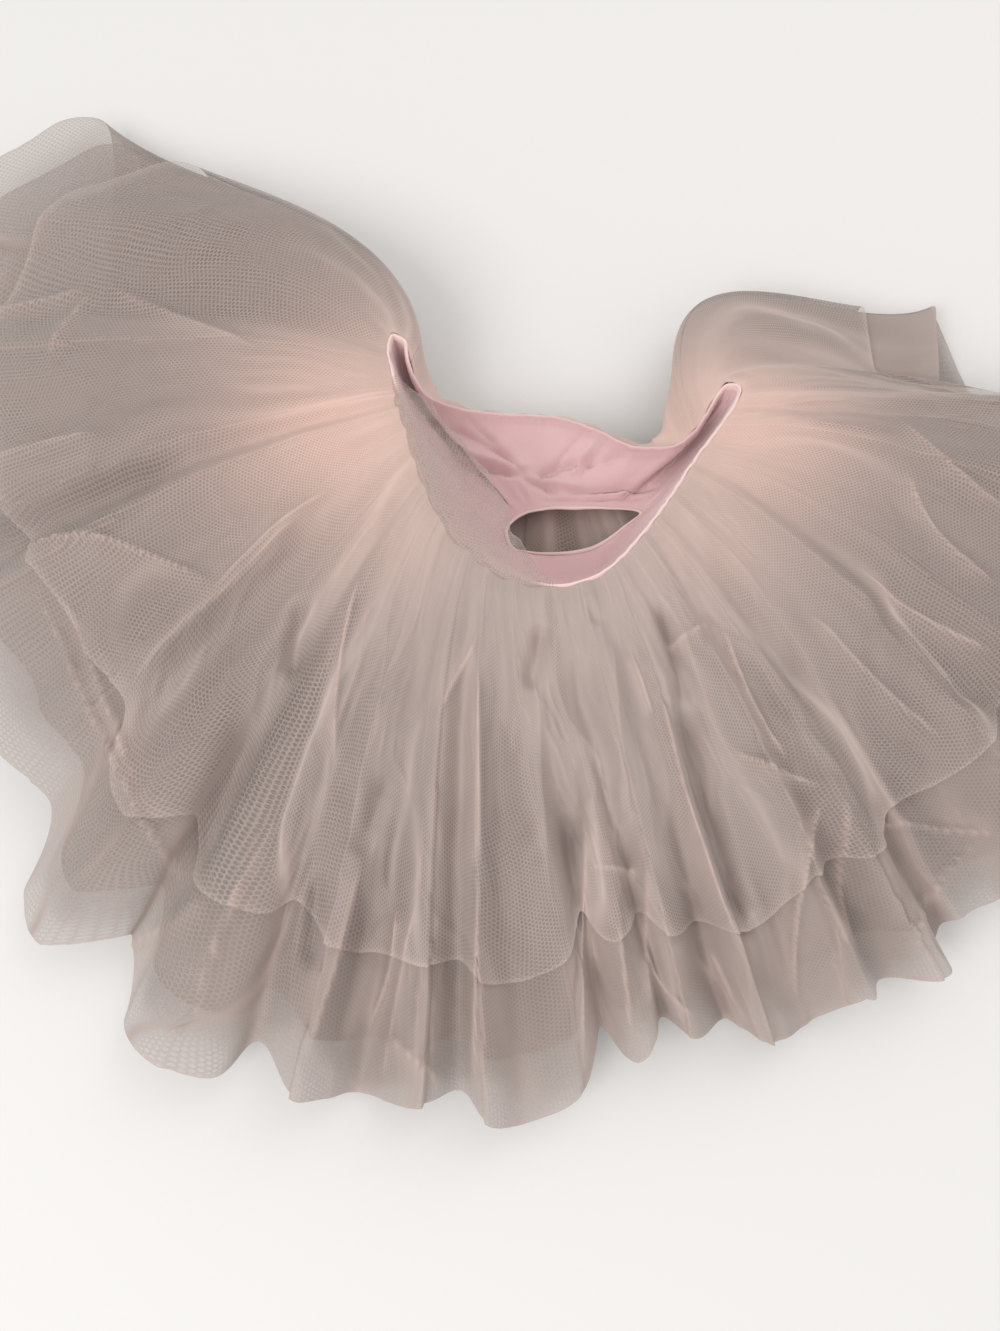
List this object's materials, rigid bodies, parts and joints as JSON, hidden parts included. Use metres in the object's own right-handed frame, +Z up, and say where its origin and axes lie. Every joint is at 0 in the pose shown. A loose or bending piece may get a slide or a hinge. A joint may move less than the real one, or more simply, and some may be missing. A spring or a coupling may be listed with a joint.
{
  "type": "ballet tutu",
  "caption": "Child's pull-on ballet tutu of gathered net layers on a narrow elastic waist with a short jersey lining, lying on its back with the skirt fanned out.",
  "frame": {"origin": "middle of the outline's box, on the surface the tutu lies on", "axes": "+Z up from the surface; +X along the fanned skirt's longest reach; +Y from the front hem towards the waist's back edge"},
  "size_m": [0.7481, 0.5708, 0.0852],
  "materials": {
    "binding": "pale pink elastic in a smooth jersey cover, soft sheen",
    "jersey": "pink fine-rib stretch jersey, matt with a faint sheen",
    "net": "dusty peach-pink soft nylon net, open mesh, translucent"
  },
  "bodies": {
    "root": {"waist_binding": "binding", "jersey_lining": "jersey", "tulle_outer_front": "net", "tulle_outer_back": "net", "tulle_middle_front": "net", "tulle_middle_back": "net", "tulle_inner_front": "net", "tulle_inner_back": "net"}
  },
  "joints": []
}
